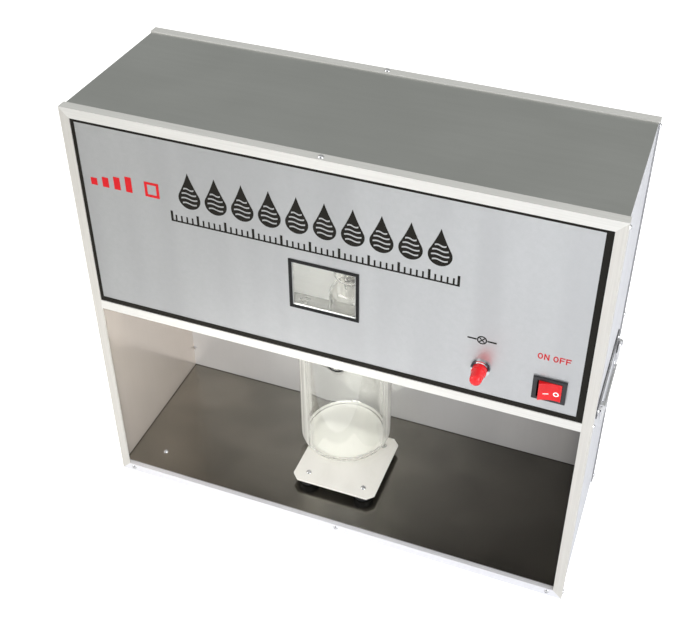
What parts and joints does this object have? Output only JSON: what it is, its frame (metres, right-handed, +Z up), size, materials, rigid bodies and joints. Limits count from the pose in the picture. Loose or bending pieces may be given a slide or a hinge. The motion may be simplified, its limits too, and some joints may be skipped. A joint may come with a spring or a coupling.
{
  "type": "glass water distiller",
  "caption": "Bench water distiller: an aluminium-framed steel cabinet with a quartz still behind its panel, and an open bay with a glass beaker on a footed stand below.",
  "frame": {"origin": "centre of the cabinet's footprint, on the plane it stands on", "axes": "X across the front, left to right as seen from the front; Y from the front to the rear; Z up"},
  "size_m": [0.5324, 0.222, 0.4818],
  "materials": {
    "frame_aluminium": "satin anodised angle",
    "dull_steel": "dull rolled sheet",
    "side_finish": "satin sheet",
    "bay_steel": "half mirror sheet",
    "shield_steel": "bright sheet",
    "screw_steel": "plated",
    "panel_aluminium": "fine brushed, matt",
    "border_black": "printed film",
    "black_plastic": "moulded",
    "clear_glass": "clear",
    "heater_glass": "clear",
    "red_plastic": "glossy, tinted",
    "bright_metal": "plated",
    "brass_metal": "turned",
    "handle_dark": "dark enamel",
    "stand_paint": "cream enamel",
    "black_rubber": "moulded",
    "ceramic": "white ceramic",
    "white_plastic": "moulded",
    "pale_silicone": "translucent silicone"
  },
  "bodies": {
    "cabinet": {"front_left_post": "frame_aluminium", "front_right_post": "frame_aluminium", "rear_left_post": "frame_aluminium", "rear_right_post": "frame_aluminium", "front_top_rail": "frame_aluminium", "front_mid_rail": "frame_aluminium", "front_bottom_rail": "frame_aluminium", "rear_top_rail": "frame_aluminium", "rear_bottom_rail": "frame_aluminium", "side_bottom_rails": "frame_aluminium", "top_sheet": "dull_steel", "left_side_panel": "side_finish", "right_side_panel": "side_finish", "rear_panel": "bay_steel", "bay_floor": "bay_steel", "left_bay_liner": "bay_steel", "right_bay_liner": "bay_steel", "divider_shelf": "bay_steel", "frame_screws": "screw_steel", "front_panel": "panel_aluminium", "panel_border": "border_black", "window_surround": "black_plastic", "window_pane": "clear_glass", "lamp_cap": "red_plastic", "lamp_bezel": "bright_metal", "lamp_barrel": "black_plastic", "switch_housing": "black_plastic", "switch_terminals": "brass_metal", "left_handle_plate": "handle_dark", "right_handle_plate": "handle_dark", "handle_screws": "screw_steel", "heat_shield": "shield_steel", "boiler_vessel": "clear_glass", "heater_tubes": "heater_glass", "heater_caps": "ceramic", "boiler_saddles": "shield_steel", "vapour_bridge": "clear_glass", "condenser": "clear_glass", "cooling_jacket": "clear_glass", "cooling_coil": "clear_glass", "condenser_clip": "shield_steel", "delivery_tube": "clear_glass", "shelf_grommet": "white_plastic", "level_bottle": "clear_glass", "bottle_cap": "white_plastic", "hoses": "pale_silicone", "rear_nozzles": "brass_metal", "nozzle_nuts": "brass_metal", "cable_gland": "black_plastic", "terminal_block": "ceramic"},
    "rocker": {"switch_rocker": "red_plastic"},
    "left_bail": {"left_bail": "bright_metal"},
    "right_bail": {"right_bail": "bright_metal"},
    "stand": {"stand_plate": "stand_paint", "stand_feet": "black_rubber", "stand_screws": "screw_steel"},
    "beaker": {"beaker": "clear_glass"}
  },
  "joints": [
    {"name": "rocker_hinge", "type": "hinge", "parent": "cabinet", "child": "rocker", "pos_m": [0.2165, -0.0878, 0.2854], "axis": [0, 0, -1], "range_deg": [0, 22]},
    {"name": "right_bail_hinge", "type": "hinge", "parent": "cabinet", "child": "right_bail", "pos_m": [0.2628, 0, 0.243], "axis": [0, -1, 0], "range_deg": [0, 90]},
    {"name": "left_bail_hinge", "type": "hinge", "parent": "cabinet", "child": "left_bail", "pos_m": [-0.2628, 0, 0.243], "axis": [0, 1, 0], "range_deg": [0, 90]},
    {"name": "stand_slide", "type": "slide", "parent": "cabinet", "child": "stand", "axis": [0, -1, 0], "range_m": [0, 0.14]},
    {"name": "beaker_slide", "type": "slide", "parent": "stand", "child": "beaker", "axis": [0, -0.995, 0.0995], "range_m": [0, 0.18]}
  ]
}
